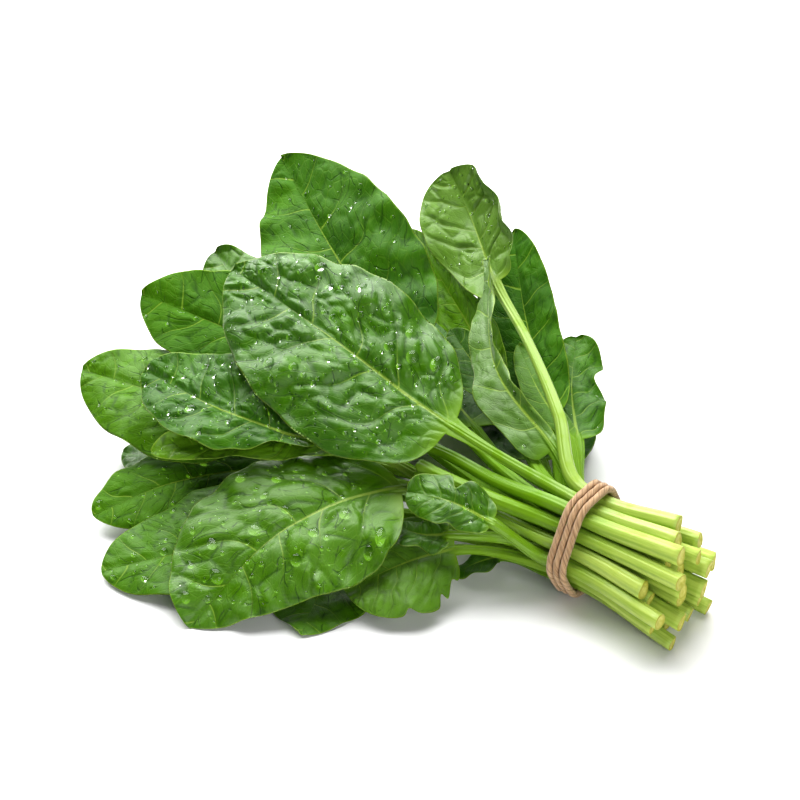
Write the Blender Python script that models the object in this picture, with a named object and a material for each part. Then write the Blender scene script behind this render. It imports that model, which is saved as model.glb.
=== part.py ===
"""A tied bunch of flat-leaf spinach, lying on its side.

X runs along the bunch: the cut stem ends point to +X and the leaf tips to -X.
Y runs across it, with the fuller side at -Y, and Z is up from the surface it lies on.
Every leaf grew with its stem, so each is one solid: a round stem that flattens into a blade.
Lengths are in millimetres from the middle of the tie, and become metres as a mesh is made.
The whole bunch hangs from one empty, which sets the origin under the middle of its box.
"""

from math import cos, pi, radians, sin

import bmesh
import bpy
import numpy as np
from mathutils import Vector

MM = 0.001

# ---- driving dimensions ---------------------------------------------------------------------
STEM_PITCH = 7.5          # stems lie in rows like stacked pipes, this far apart inside the tie
STEM_RADIUS_TIE = 3.5     # radius of a stem where the tie holds it
STEM_RADIUS_CUT = 3.9     # radius at the cut end, where a stem is thickest
STEM_RADIUS_BLADE = 1.9   # radius where the blade begins
RIB_RADIUS_TIP = 0.7      # the rib has nearly faded out at the tip
ROW_COUNTS = (3, 4, 5, 6, 5, 4)   # stems in each row inside the tie, from the top row down
CUT_END_X = 50            # the cut ends lie about this far beyond the tie
SPLAY = 1.3               # the cut ends spread by this much from their places in the tie
STRAY = 0.6               # and each end lies this far off that place
MOUTH_X = -9              # the stems leave the tie side by side, and part from here on
MOUTH_SPREAD = 1.06
BLADE_THICKNESS = 1.0     # a fresh blade with its puckers, taken as one even sheet
TWINE_DIAMETER = 3.1
TWINE_TURNS = 3.1
TWINE_CLEARANCE = 0.9     # the stems spread a little on both sides of the tie
GAP = 0.3                 # clear air left between turns that touch
NEARLY_FLAT = 1e-6        # the least bend of a section, in radians per millimetre

HALF_COLUMNS = 3          # quads from the rib to the edge of a leaf
STEM_STATIONS = 4         # rings from the tie's mouth to the blade
BLADE_STATIONS = (0.0, 0.06, 0.16, 0.3, 0.46, 0.62, 0.78, 0.91, 0.985)   # along a blade
STUB_SIDES = 12
TWINE_STEPS = 24          # points in each turn of twine


# ---- curves and places ----------------------------------------------------------------------
def unit(vectors):
    return vectors / np.linalg.norm(vectors, axis=-1, keepdims=True)


def smooth(points, steps=24):
    """Closely spaced points on a smooth curve through the given points (cubic Hermite runs).

    At each inner point the curve heads between its two neighbours' directions, and the nearer
    neighbour counts for more, so that a short run beside a long one doesn't bulge.
    """
    points = np.array(points, float)
    runs = np.diff(points, axis=0)
    reach = np.linalg.norm(runs, axis=1, keepdims=True)
    heading = runs / reach
    inner = unit(heading[:-1] * reach[1:] + heading[1:] * reach[:-1])
    heading = np.vstack([heading[:1], inner, heading[-1:]])
    t = np.linspace(0, 1, steps, endpoint=False)[:, None]
    curve = [
        (2 * t**3 - 3 * t**2 + 1) * a + (t**3 - 2 * t**2 + t) * leave * far
        + (3 * t**2 - 2 * t**3) * b + (t**3 - t**2) * arrive * far
        for a, b, leave, arrive, far in zip(points, points[1:], heading, heading[1:], reach)
    ]
    return np.vstack(curve + [points[-1:]])


def frame_along(points):
    """A smooth rib through the points: the curve, its arc length, and its side and up vectors."""
    curve = smooth(points)
    arc = np.concatenate([[0], np.cumsum(np.linalg.norm(np.diff(curve, axis=0), axis=1))])
    tangent = unit(np.gradient(curve, axis=0))
    up = unit(np.array([0, 0, 1]) - tangent[:, 2:] * tangent)
    return curve, arc, np.cross(tangent, up), up


def read_at(s, arc, values):
    """The rows of values at the arc lengths s."""
    return np.stack([np.interp(s, arc, values[:, k]) for k in range(3)], axis=-1)


def slot_place(row, place):
    """Y and Z of a stem inside the tie: row 0 is the top one, place 0 the nearest to -Y."""
    y = (place - (ROW_COUNTS[row] - 1) / 2) * STEM_PITCH
    z = ((len(ROW_COUNTS) - 1) / 2 - row) * STEM_PITCH * sin(radians(60))
    return y, z


def held_points(slot, cut):
    """A stem's points from its cut end, through the tie, to the tie's mouth."""
    y, z = slot_place(*slot)
    reach = CUT_END_X + cut
    splay = 1 + (SPLAY - 1) * reach / CUT_END_X
    stray = 2.4 * slot[0] + 4.1 * slot[1]      # each end strays its own way
    return [
        (reach, y * splay + STRAY * cos(stray), z * splay + STRAY * sin(stray)),
        (0, y, z),
        (MOUTH_X, y * MOUTH_SPREAD, z * MOUTH_SPREAD),
    ]


# ---- meshes and finishes --------------------------------------------------------------------
def finish(name, colour, roughness):
    material = bpy.data.materials.new(name)
    material.use_nodes = True
    shader = material.node_tree.nodes["Principled BSDF"]
    shader.inputs["Base Color"].default_value = (*colour, 1)
    shader.inputs["Roughness"].default_value = roughness
    return material


def place_in_bunch(name, data):
    piece = bpy.data.objects.new(name, data)
    bpy.context.scene.collection.objects.link(piece)
    piece.parent = bunch


def loft(name, rings, material):
    """A closed solid through the rings, with a cap at each end."""
    bm = bmesh.new()
    loops = [[bm.verts.new(point * MM) for point in ring] for ring in rings]
    for near, far in zip(loops, loops[1:]):
        for k in range(len(near)):
            bm.faces.new((near[k - 1], near[k], far[k], far[k - 1]))
    bm.faces.new(reversed(loops[0]))
    bm.faces.new(loops[-1])
    bmesh.ops.recalc_face_normals(bm, faces=bm.faces)
    mesh = bpy.data.meshes.new(name)
    bm.to_mesh(mesh)
    bm.free()
    mesh.shade_smooth()
    mesh.set_sharp_from_angle(angle=radians(50))
    mesh.materials.append(material)
    place_in_bunch(name, mesh)


# ---- a leaf with its stem -------------------------------------------------------------------
def leaf(name, slot, blade, half, roll=(0, 0), curl=(-0.5, -0.5), fold=0.15, ruffle=(1.5, 2, 0),
         lobe=0.2, base=0.43, tip=0.6, cut=0, via=()):
    """One leaf: its place in the tie, its rib from the blade's base to its tip, and its shape.

    A pair gives the -Y half and then the +Y half, or for roll the base and then the tip, and one
    number for lobe, base or tip serves both halves.
    half is the widest half width and roll leans the face in degrees, negative towards -Y.
    fold is the angle of each half at the rib and curl its further turn to the edge, in radians.
    ruffle is the height, count and start of the waves along the edge, lobe says how far the
    base sweeps back, as a share of half, base and tip say how pointed the ends of the outline
    are, larger being sharper, and cut is the stem's extra length beyond the tie.
    via holds points that the stem passes between the tie and the blade.
    """
    stem_points = [*held_points(slot, cut), *via]
    curve, arc, out, up = frame_along([*stem_points, *blade])
    steps = (len(curve) - 1) // (len(stem_points) + len(blade) - 1)
    arc_tie, arc_mouth, arc_base = arc[steps * np.array([1, 2, len(stem_points)])]
    length = arc[-1] - arc_base

    # rings lie at these places along the rib, and each ring runs over the face and back under it
    stem = np.linspace(arc_mouth, arc_base, STEM_STATIONS, endpoint=False)
    stations = np.concatenate(
        [[0, arc_tie / 2, arc_tie], stem, arc_base + np.array(BLADE_STATIONS) * length]
    )
    over = np.linspace(-1, 1, 2 * HALF_COLUMNS + 1)
    columns = np.concatenate([over, over[-2:0:-1]])
    face = np.where(np.arange(len(columns)) < len(over), 1, -1)
    s, c = np.meshgrid(stations, columns, indexing="ij")

    # the stem tapers, and the blade opens out from it and closes to a rounded tip
    v = np.clip((s - arc_base) / length, 0, 1)
    radius = np.interp(
        s, [0, arc_tie, arc_base, arc[-1]],
        [STEM_RADIUS_CUT, STEM_RADIUS_TIE, STEM_RADIUS_BLADE, RIB_RADIUS_TIP],
    )
    side = (c > 0).astype(int)
    widest = np.array(half)[side]
    lobe, base, tip = (np.broadcast_to(value, 2)[side] for value in (lobe, base, tip))
    peak = base / (base + tip)
    outline = v**base * (1 - v) ** tip / (peak**base * (1 - peak) ** tip)
    width = np.maximum(radius, widest * outline)
    opened = np.clip(v / 0.14, 0, 1) ** 0.7
    q = radius * np.sin(pi / 2 * np.abs(c)) + (width - radius) * np.abs(c) ** 1.2

    # across the blade, the halves fold up from the rib and curl on towards their edges
    start = opened * fold
    bend = opened * np.where(c < 0, curl[0], curl[1]) / widest + NEARLY_FLAT
    angle = start + bend * q
    rib = np.sqrt(np.maximum(radius**2 - q**2, 0))
    sheet = BLADE_THICKNESS / 2 * opened * (1 - c**6)
    thick = face * np.maximum(sheet, np.where(face > 0, rib * (1 - 0.7 * opened), rib))
    across = np.sign(c) * ((np.sin(angle) - np.sin(start)) / bend - thick * np.sin(angle))
    lift = (np.cos(start) - np.cos(angle)) / bend + thick * np.cos(angle)
    height, waves, phase = ruffle
    lift += height * opened * c**2 * np.sin(2 * pi * waves * v + phase + 2 * (c > 0))

    # the face leans over by the roll, and the outer parts of the base sweep back along the stem
    lean = np.radians(np.interp(arc, [0.6 * arc_base, arc_base, arc[-1]], [0, *roll]))[:, None]
    normal = up * np.cos(lean) + out * np.sin(lean)
    out = out * np.cos(lean) - up * np.sin(lean)
    s = s - lobe * widest * c**2 * (1 - v) ** 3 * np.clip(v / 0.06, 0, 1)
    rings = (
        read_at(s, arc, curve)
        + read_at(s, arc, out) * across[..., None]
        + read_at(s, arc, normal) * lift[..., None]
    )
    loft(name, rings, leaf_green)


# ---- a stem whose blade has broken off --------------------------------------------------------
def broken_stem(name, slot, beyond, cut=0):
    """A bare stem through the points beyond the tie, ending in a flared, hollow break."""
    curve, arc, out, up = frame_along([*held_points(slot, cut), *beyond])
    end = arc[-1]
    places_and_radii = (
        (0, STEM_RADIUS_CUT),
        (CUT_END_X / 2, 3.95),
        (CUT_END_X, STEM_RADIUS_TIE),
        (CUT_END_X - MOUTH_X, 3.4),
        (0.7 * end, 3.3),
        (0.85 * end, 3.3),
        (end - 1, 4.3),
        (end, 4.0),
        (end - 1, 3.2),
        (end - 5, 2.4),
    )
    turn = np.linspace(0, 2 * pi, STUB_SIDES, endpoint=False)[:, None]
    rings = [
        read_at(s, arc, curve)
        + radius * (np.cos(turn) * read_at(s, arc, out) + np.sin(turn) * read_at(s, arc, up))
        for s, radius in places_and_radii
    ]
    loft(name, np.array(rings), leaf_green)


# ---- the tie ----------------------------------------------------------------------------------
def twine(name):
    """Three turns of twine, drawn tight round the stems like a belt round a bundle of pipes."""
    stems = [slot_place(row, k) for row, count in enumerate(ROW_COUNTS) for k in range(count)]
    off = STEM_RADIUS_TIE + TWINE_CLEARANCE + TWINE_DIAMETER / 2
    count = round(TWINE_TURNS * TWINE_STEPS)
    curve = bpy.data.curves.new(name, "CURVE")
    curve.dimensions = "3D"
    curve.bevel_depth = TWINE_DIAMETER / 2 * MM
    curve.bevel_resolution = 2
    curve.use_fill_caps = True
    spline = curve.splines.new("POLY")
    spline.points.add(count)
    for k, point in enumerate(spline.points):
        turns = k / TWINE_STEPS
        angle = 2 * pi * turns - radians(70)     # both ends lie low down on the far side
        y, z = cos(angle), sin(angle)
        outer = max(stems, key=lambda stem: stem[0] * y + stem[1] * z)
        x = (turns - TWINE_TURNS / 2) * (TWINE_DIAMETER + GAP)
        point.co = (x * MM, (outer[0] + off * y) * MM, (outer[1] + off * z) * MM, 1)
    curve.materials.append(twine_tan)
    place_in_bunch(name, curve)


# ---- the bunch --------------------------------------------------------------------------------
for old in list(bpy.data.objects):
    bpy.data.objects.remove(old)

leaf_green = finish("leaf_green", (0.06, 0.19, 0.03), 0.4)
twine_tan = finish("twine_tan", (0.47, 0.28, 0.12), 0.85)

bunch = bpy.data.objects.new("bunch", None)
bpy.context.scene.collection.objects.link(bunch)

twine("twine_tie")
broken_stem("broken_stem", (1, 0), [(-41, -20, 15), (-74, -26, 20)], cut=6)

# the leaves of the fuller side, from the top of the pile down
leaf("centre_leaf", (0, 1), [(-69, -8, 34), (-130, -14, 58), (-198, -8, 68)], (45, 39),
     roll=(-20, -28), curl=(-0.5, -0.3), lobe=(0.15, -0.1), base=0.45, tip=0.64, cut=-5)
leaf("top_leaf", (1, 1), [(-121, 22, 35), (-180, 44, 60), (-240, 76, 78)], (35, 39),
     roll=(-20, -40), curl=(0.1, -0.3), base=0.48, tip=0.72, cut=-6)
leaf("pale_leaf", (1, 3), [(-32, 20, 22), (-70, 32, 36), (-120, 89, 56)], (15, 5),
     roll=(-40, -60), curl=(0.3, 0.3), ruffle=(1.5, 3, 1), lobe=(0.5, 0.1), base=0.3, tip=0.75,
     cut=-2)
leaf("twisted_leaf", (0, 2), [(-112, 85, 48), (-143, 106, 64), (-162, 114, 80)], (25, 23),
     roll=(-30, -42), curl=(0.1, 0.3), lobe=(0.9, 0.2), base=(0.8, 0.5), tip=0.42, cut=-10,
     via=[(-39, 33, 30), (-78, 63, 40)])
leaf("narrow_leaf", (2, 3), [(-88, 57, 14), (-135, 83, 29), (-177, 102, 46)], (14, 17),
     roll=(-50, -60), curl=(0.4, 0.4), cut=6)
leaf("left_leaf", (0, 0), [(-117, -45, 26), (-157, -59, 32), (-213, -56, 30)], (24, 30),
     roll=(-15, -25), curl=(-0.2, -0.3), cut=2, via=[(-40, -11, 18), (-79, -14, 22)])
leaf("front_leaf", (2, 0), [(-76, -35, 12), (-104, -80, 5), (-118, -132, -25)], (38, 41),
     roll=(-15, -20), curl=(-0.6, -0.6), lobe=(0.25, 0), base=(0.5, 0.7), tip=(0.85, 0.62),
     cut=-9)
leaf("upper_left_leaf", (2, 1), [(-140, 0, 20), (-200, -8, 32), (-253, -16, 37)], (30, 34),
     roll=(-20, -30), curl=(-0.3, -0.2), cut=5)
leaf("small_upper_leaf", (2, 2), [(-170, 14, 18), (-213, 18, 32), (-247, 31, 41)], (22, 20),
     roll=(-10, -20), tip=0.45, cut=-3)
leaf("edge_leaf", (1, 2), [(-75, 37, 21), (-99, 49, 26), (-122, 62, 29)], (11, 11),
     roll=(-10, -30), cut=3)
leaf("rolled_leaf", (3, 2), [(-106, -30, 18), (-145, -58, 22), (-181, -86, 14)], (12, 15),
     roll=(-10, -20), curl=(-0.3, 0.3), cut=2, via=[(-52, -14, 1)])
leaf("far_left_leaf", (3, 3), [(-165, -34, 6), (-212, -50, 14), (-252, -60, 16)], (32, 28),
     roll=(-15, -25), cut=7)
leaf("two_lobed_leaf", (3, 0), [(-29, -32, 14), (-46, -36, 19), (-69, -40, 17)], (12, 13),
     roll=(-30, -30), tip=0.4, cut=3)
leaf("arrow_leaf", (3, 1), [(-47, -41, 4), (-56, -45, 2), (-71, -45, 0)], (10, 8),
     roll=(-20, -20), lobe=0.6, cut=-8)
leaf("low_left_leaf", (4, 2), [(-150, -40, -8), (-181, -76, -10), (-199, -109, -17)], (24, 24),
     roll=(-10, -15), cut=-6)
leaf("low_front_leaf", (4, 1), [(-112, -56, -6), (-140, -100, -12), (-172, -131, -22)], (27, 35),
     roll=(-10, -15), cut=6)
leaf("ragged_leaf", (4, 0), [(-46, -35, -8), (-62, -60, -10), (-72, -80, -16)], (27, 24),
     roll=(-20, -10), tip=0.45, cut=-2)
leaf("bottom_leaf", (5, 1), [(-83, -38, -20), (-88, -72, -23), (-76, -106, -24)], (30, 33),
     curl=(-0.1, -0.1), fold=0, tip=0.75, cut=-3)
leaf("faint_leaf", (5, 2), [(-185, -44, -16), (-207, -56, -18), (-228, -61, -22)], (16, 16),
     cut=2)
leaf("scrap_leaf", (5, 0), [(-35, -16, -19), (-42, -26, -20), (-48, -34, -24)], (7, 7),
     cut=5)

# the leaves of the far side
leaf("ragged_back_leaf", (2, 4), [(-37, 41, 13), (-61, 52, 21), (-93, 78, 23)], (8, 8),
     cut=-12)
leaf("behind_leaf", (3, 4), [(-58, 58, 8), (-100, 95, 26), (-134, 130, 48)], (28, 16),
     roll=(-20, -30), tip=0.42, cut=-4)
leaf("curly_leaf", (3, 5), [(-42, 56, 2), (-62, 80, 8), (-80, 110, 16)], (17, 17),
     ruffle=(3, 3, 0), tip=0.4, cut=1)
leaf("back_leaf", (4, 3), [(-90, 40, -3), (-140, 70, -4), (-190, 105, -14)], (34, 48),
     roll=(10, 10), cut=4)
leaf("low_back_leaf", (4, 4), [(-55, 46, -10), (-80, 80, -17), (-100, 112, -25)], (28, 28),
     roll=(5, 5), cut=-8)
leaf("under_leaf", (5, 3), [(-110, 10, -17), (-160, 20, -20), (-215, 34, -25)], (34, 34),
     curl=(-0.1, -0.1), fold=0, cut=5)

# the origin: under the middle of the whole bunch, on the surface it lies on
bpy.context.view_layer.update()
corners = np.array(
    [piece.matrix_world @ Vector(corner) for piece in bunch.children for corner in piece.bound_box]
)
low, high = corners.min(axis=0), corners.max(axis=0)
bunch.location = (-(low[0] + high[0]) / 2, -(low[1] + high[1]) / 2, -low[2])
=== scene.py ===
# %% [markdown]
# # A tied bunch of spinach
#
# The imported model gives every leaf, the broken stem and the twine as plain solids in their true
# places. Here each of them gets the surface that the real thing has: puckered blades with sunken
# veins, ribbed stems with pale cut ends, twisted fibres in the twine, and drops of water.
# Lengths are in millimetres from the middle of the tie, and become metres as a mesh is made.

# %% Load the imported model
from math import cos, pi, radians, sin

import bpy
import numpy as np
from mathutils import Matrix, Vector


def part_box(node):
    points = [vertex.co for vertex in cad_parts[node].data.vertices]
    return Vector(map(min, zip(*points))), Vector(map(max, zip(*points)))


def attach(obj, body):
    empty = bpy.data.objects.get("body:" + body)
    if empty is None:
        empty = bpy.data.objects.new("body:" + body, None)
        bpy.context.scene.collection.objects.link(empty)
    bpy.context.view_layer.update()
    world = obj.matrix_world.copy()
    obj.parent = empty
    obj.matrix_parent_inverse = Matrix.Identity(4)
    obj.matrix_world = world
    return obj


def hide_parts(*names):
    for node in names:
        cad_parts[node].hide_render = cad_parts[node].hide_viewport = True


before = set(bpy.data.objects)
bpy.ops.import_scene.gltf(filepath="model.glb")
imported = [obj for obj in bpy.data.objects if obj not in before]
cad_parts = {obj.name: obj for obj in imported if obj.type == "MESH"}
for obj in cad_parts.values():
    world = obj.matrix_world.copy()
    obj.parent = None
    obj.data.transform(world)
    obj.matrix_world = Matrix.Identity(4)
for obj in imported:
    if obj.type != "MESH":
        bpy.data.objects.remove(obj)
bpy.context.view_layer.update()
MM = 0.001
tie_low, tie_high = (Vector(corner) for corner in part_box("twine_tie"))
TIE = np.array((tie_low + tie_high) / 2)

# %% [markdown]
# ## How the stems are held
#
# A tied bundle of round stems packs like pipes, in rows that sit in each other's hollows. Each
# stem has a place in a row, runs straight through the tie and parts from its neighbours in front
# of it, so no stem crosses another. Behind the tie the cut ends splay out, and each one strays a
# little its own way. The places are the ones that the solids have. The blades here are thinner than
# the solids' plain sheets, because veins and puckers come on top.

# %% Sizes of the bundle
STEM_PITCH = 7.5            # stems lie this far apart inside the tie
STEM_RADIUS_TIE = 3.5
STEM_RADIUS_CUT = 3.8
STEM_RADIUS_BLADE = 1.9
RIB_RADIUS_TIP = 0.5
ROW_COUNTS = (3, 4, 5, 6, 5, 4)   # stems in each row, from the top one down
ROW_ANGLE = radians(60)     # stacked rows sit in each other's hollows
CUT_END_X = 50
SPLAY = 1.3                 # how far the cut ends spread from their places in the tie
STRAY = 0.6
MOUTH_X = -9                # the stems part from here on
MOUTH_SPREAD = 1.06
STEPS = 24                  # points on a stem's curve between two given ones
BLADE_THICKNESS = 0.55
TWINE_DIAMETER = 3.1
TWINE_TURNS = 3.1
TWINE_CLEARANCE = 0.9
GAP = 0.3                   # between two turns of twine
FLOOR_Z = -TIE[2] / MM


def unit(vectors):
    return vectors / np.linalg.norm(vectors, axis=-1, keepdims=True)


def smooth(points, steps=STEPS):
    """Closely spaced points on a smooth curve through the given points (cubic Hermite runs)."""
    points = np.array(points, float)
    runs = np.diff(points, axis=0)
    reach = np.linalg.norm(runs, axis=1, keepdims=True)
    heading = runs / reach
    inner = unit(heading[:-1] * reach[1:] + heading[1:] * reach[:-1])
    heading = np.vstack([heading[:1], inner, heading[-1:]])
    t = np.linspace(0, 1, steps, endpoint=False)[:, None]
    curve = [
        (2 * t**3 - 3 * t**2 + 1) * a + (t**3 - 2 * t**2 + t) * leave * far
        + (3 * t**2 - 2 * t**3) * b + (t**3 - t**2) * arrive * far
        for a, b, leave, arrive, far in zip(points, points[1:], heading, heading[1:], reach)
    ]
    return np.vstack(curve + [points[-1:]])


def frame_along(points):
    """A smooth rib through the points: the curve, its arc length, and its side and up vectors."""
    curve = smooth(points)
    arc = np.concatenate([[0], np.cumsum(np.linalg.norm(np.diff(curve, axis=0), axis=1))])
    tangent = unit(np.gradient(curve, axis=0))
    up = unit(np.array([0, 0, 1]) - tangent[:, 2:] * tangent)
    return curve, arc, np.cross(tangent, up), up


def read_at(s, arc, values):
    """The rows of values at the arc lengths s."""
    return np.stack([np.interp(s, arc, values[:, k]) for k in range(3)], axis=-1)


def slot_place(row, place):
    """Y and Z of a stem inside the tie: row 0 is the top one, place 0 the nearest to -Y."""
    y = (place - (ROW_COUNTS[row] - 1) / 2) * STEM_PITCH
    z = ((len(ROW_COUNTS) - 1) / 2 - row) * STEM_PITCH * sin(ROW_ANGLE)
    return y, z


def held_points(slot, cut):
    """A stem's points from its cut end, through the tie, to the tie's mouth."""
    y, z = slot_place(*slot)
    reach = CUT_END_X + cut
    splay = 1 + (SPLAY - 1) * reach / CUT_END_X
    stray = slot[0] * 2.4 + slot[1] * 4.1
    return [
        (reach, y * splay + STRAY * cos(stray), z * splay + STRAY * sin(stray)),
        (0, y, z),
        (MOUTH_X, y * MOUTH_SPREAD, z * MOUTH_SPREAD),
    ]


print("places for", sum(ROW_COUNTS), "stems in the tie")

# %% [markdown]
# ## Small patterns that every blade needs
#
# A blade isn't flat between its veins: the tissue grows faster than the veins do, so it pillows
# up into puckers with the veins sunk between them. Two helpers make that: `wander`, a slow
# irregular swell, and `cells`, which splits the blade into uneven cells, as the finest veins do,
# and says how far each point is from the wall between two cells.

# %% Swells and cells
CELLS = 64    # the pattern of cells repeats after this many


def wander(x, y, size, seed):
    """A smooth irregular swell between about -1 and 1, with waves about this long."""
    rng = np.random.default_rng(seed)
    total = 0
    for angle, phase, stretch in rng.uniform((0, 0, 0.7), (2 * pi, 2 * pi, 1.5), (6, 3)):
        total = total + np.sin((x * cos(angle) + y * sin(angle)) * 2 * pi / size * stretch + phase)
    return total / 3


def cells(x, y, size, seed):
    """How far each point is from the nearest wall between two cells, as a share of size."""
    rng = np.random.default_rng(seed)
    seeds = rng.uniform(0.1, 0.9, (CELLS, CELLS, 2))
    gx, gy = x / size, y / size
    nearest = np.full(x.shape, 9.0)
    second = np.full(x.shape, 9.0)
    for i in (-1, 0, 1):
        for j in (-1, 0, 1):
            cx, cy = np.floor(gx) + i, np.floor(gy) + j
            at = seeds[cx.astype(int) % CELLS, cy.astype(int) % CELLS]
            far = np.hypot(cx + at[..., 0] - gx, cy + at[..., 1] - gy)
            second = np.minimum(second, np.maximum(nearest, far))
            nearest = np.minimum(nearest, far)
    return second - nearest


def ease(x, low, high):
    """0 below low, 1 above high and a smooth step between."""
    t = np.clip((x - low) / (high - low), 0, 1)
    return t * t * (3 - 2 * t)


# %% [markdown]
# ## One leaf
#
# A leaf and its stem grew as one, so they are modelled as one skin. It could be sculpted, or
# built as a flat sheet with thickness added and a tube joined on. Here a grid is laid along the
# leaf and rolled up into a tube: its rows are sections along the rib, and its columns run over
# the face and back along the underside. The first rows close the cut end, the next ones are the
# round stem, and then the section flattens and widens into the blade and closes at the tip, so
# there is no join to hide.

# %% The rolled-up grid
def roll_up(name, points, marks):
    """A grid laid on rows and columns of points, closed along its seam and at its ends."""
    rows, columns = points.shape[:2]
    bpy.ops.object.select_all(action="DESELECT")
    bpy.ops.mesh.primitive_grid_add(x_subdivisions=columns, y_subdivisions=rows - 1, size=1)
    piece = bpy.context.active_object
    piece.name = name
    mesh = piece.data
    places = np.empty(len(mesh.vertices) * 3)
    mesh.vertices.foreach_get("co", places)
    places = places.reshape(-1, 3)
    column = np.rint((places[:, 0] + 0.5) * columns).astype(int) % columns
    row = np.rint((places[:, 1] + 0.5) * (rows - 1)).astype(int)
    mesh.vertices.foreach_set("co", (points[row, column] * MM + TIE).ravel())
    for mark, values in marks.items():
        if np.ndim(values) == 3:
            layer = mesh.attributes.new(mark, "FLOAT_VECTOR", "POINT")
            layer.data.foreach_set("vector", values[row, column].ravel())
        else:
            values = np.broadcast_to(np.asarray(values, float), (rows, columns))
            layer = mesh.attributes.new(mark, "FLOAT", "POINT")
            layer.data.foreach_set("value", values[row, column].ravel())
    bpy.ops.object.mode_set(mode="EDIT")
    bpy.ops.mesh.select_all(action="SELECT")
    bpy.ops.mesh.remove_doubles(threshold=2e-6)
    bpy.ops.mesh.normals_make_consistent(inside=False)
    bpy.ops.object.mode_set(mode="OBJECT")
    bpy.ops.object.shade_smooth()
    return piece


def beside(*values):
    """Three numbers for each point of a grid, for a mark that is a place."""
    return np.stack(np.broadcast_arrays(*values), -1)


# %% [markdown]
# ## Where the veins run
#
# A spinach blade has one midrib, side veins that leave it by turns left and right and bend
# towards the tip, and a net of fine veins between them. The side veins follow a rule, so they
# need no drawing: `vein_count` rises by one from each side vein to the next, which makes every
# whole number a vein. It is kept on the mesh, so the material can draw the veins sharp however
# coarse the mesh is, and the same number lifts the tissue between the veins.

# %% Vein count and puckers
VEIN_LEAN = 0.45
VEIN_BEND = 0.5
SIDE_VEINS = 5.3


def vein_count(y, q, length, widest, seed):
    """A number that is whole along every side vein: y runs along the midrib, q is off to a side."""
    wavy = 0.018 * length * wander(y, q, 0.25 * length, seed)
    start = y - VEIN_LEAN * np.abs(q) - VEIN_BEND * q**2 / widest + wavy
    return start / length * SIDE_VEINS + 0.5 * (q > 0) + 0.3


def puckers(count, y, q, pitch, patch_size, seed):
    """The height of the tissue between veins, and the painted shade of its creases; both 0 to 1."""
    side = np.abs(count - np.rint(count)) * pitch
    drift = 0.25 * patch_size * wander(y, q, 2.5 * patch_size, seed + 7)
    patch = cells(y - 0.4 * np.abs(q) + drift, q + drift, patch_size, seed)
    small = cells(y + drift, q - drift, 0.45 * patch_size, seed + 1)
    between = ease(side, 0, 0.16 * pitch) * ease(np.abs(q), 0.3, 4)
    dome = 1 - (1 - np.clip(patch / 0.75, 0, 1)) ** 2
    rumpled = ease(wander(y, q, 2.2 * patch_size, seed + 9), -0.3, 0.7)
    high = between * (0.2 + 0.8 * dome * (0.5 + 0.5 * rumpled)) + 0.16 * rumpled * ease(small, 0, 0.3)
    broken = ease(wander(y, q, 1.4 * patch_size, seed + 11), -0.5, 0.5)
    painted_shade = (1 - ease(patch * patch_size, 0.2, 1.7)) * broken * ease(side, 0.3, 2.5)
    flank = np.exp(-(((side - 1.1) / 0.7) ** 2)) * (1 - broken)
    return high, np.maximum(painted_shade, 0.7 * flank) * ease(np.abs(q), 1, 4)


print("about", SIDE_VEINS, "side veins leave each side of a midrib")

# %% [markdown]
# ## The sections of a leaf
#
# Each ring of the skin is worked out from its distance `s` along the rib. `v` runs from 0 where
# the blade begins to 1 at its tip, `c` runs across a section from -1 at one margin to 1 at the
# other, and `q` is the same way across in millimetres. The stem could be a plain tube, but a
# spinach stem has a shallow channel on top and low ridges, which catch the light along it. The
# cut end isn't flat either: it sags a little inside its rim, and it was cut on a slant.

# %% Rows and columns of the skin
# each ring of the cut end: its share of the radius, and how deep it lies
CAP_RINGS = ((0.0, 0.9), (0.35, 0.75), (0.65, 0.35), (0.86, 0.0), (0.96, 0.05), (1.0, 0.3))
FIRST_RING = 2.6    # the stem's own rings start here
# grids: rings along the stem, rings along the blade, and columns on one face
BIG = (60, 170, 90)
MEDIUM = (54, 110, 56)
SMALL = (48, 70, 36)


def rows_along(grid, arc_base, length):
    """Each ring's distance along the rib, how far it is drawn in, and whether it is sawn."""
    stem_rows, blade_rows, _ = grid
    t = np.linspace(0, 1, blade_rows)
    s = np.concatenate([
        [depth for _, depth in CAP_RINGS],
        np.linspace(FIRST_RING, arc_base, stem_rows, endpoint=False),
        arc_base + length * (t - 0.8 * np.sin(2 * pi * t) / (2 * pi)),
    ])[:, None]
    shrink = np.ones_like(s)
    shrink[:len(CAP_RINGS), 0] = [share for share, _ in CAP_RINGS]
    sawn = np.zeros_like(s)
    sawn[:len(CAP_RINGS) - 1] = 1
    return s, shrink, sawn


def columns_round(grid):
    """For each column 1 on the face or -1 on the underside, and its place c across."""
    face_columns = grid[2]
    k = np.arange(2 * face_columns)
    face = np.where(k < face_columns, 1, -1)[None]
    c = np.where(k < face_columns, 2 * k / face_columns - 1, 3 - 2 * k / face_columns)[None]
    return face, c


# %% Outline of a blade and section of a stem
def outline_of(v, side, base, tip, bites):
    """The half width along a blade as a share of the widest: small powers make full ends."""
    base, tip = np.broadcast_to(base, 2)[side], np.broadcast_to(tip, 2)[side]
    peak = base / (base + tip)
    outline = v**base * (1 - v) ** tip / (peak**base * (1 - peak) ** tip)
    for bite_side, middle, size, depth in bites:
        dent = np.exp(-(((v - middle) / size) ** 2)) * depth
        outline = outline * (1 - np.where(side == bite_side, dent, 0))
    return outline


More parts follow.
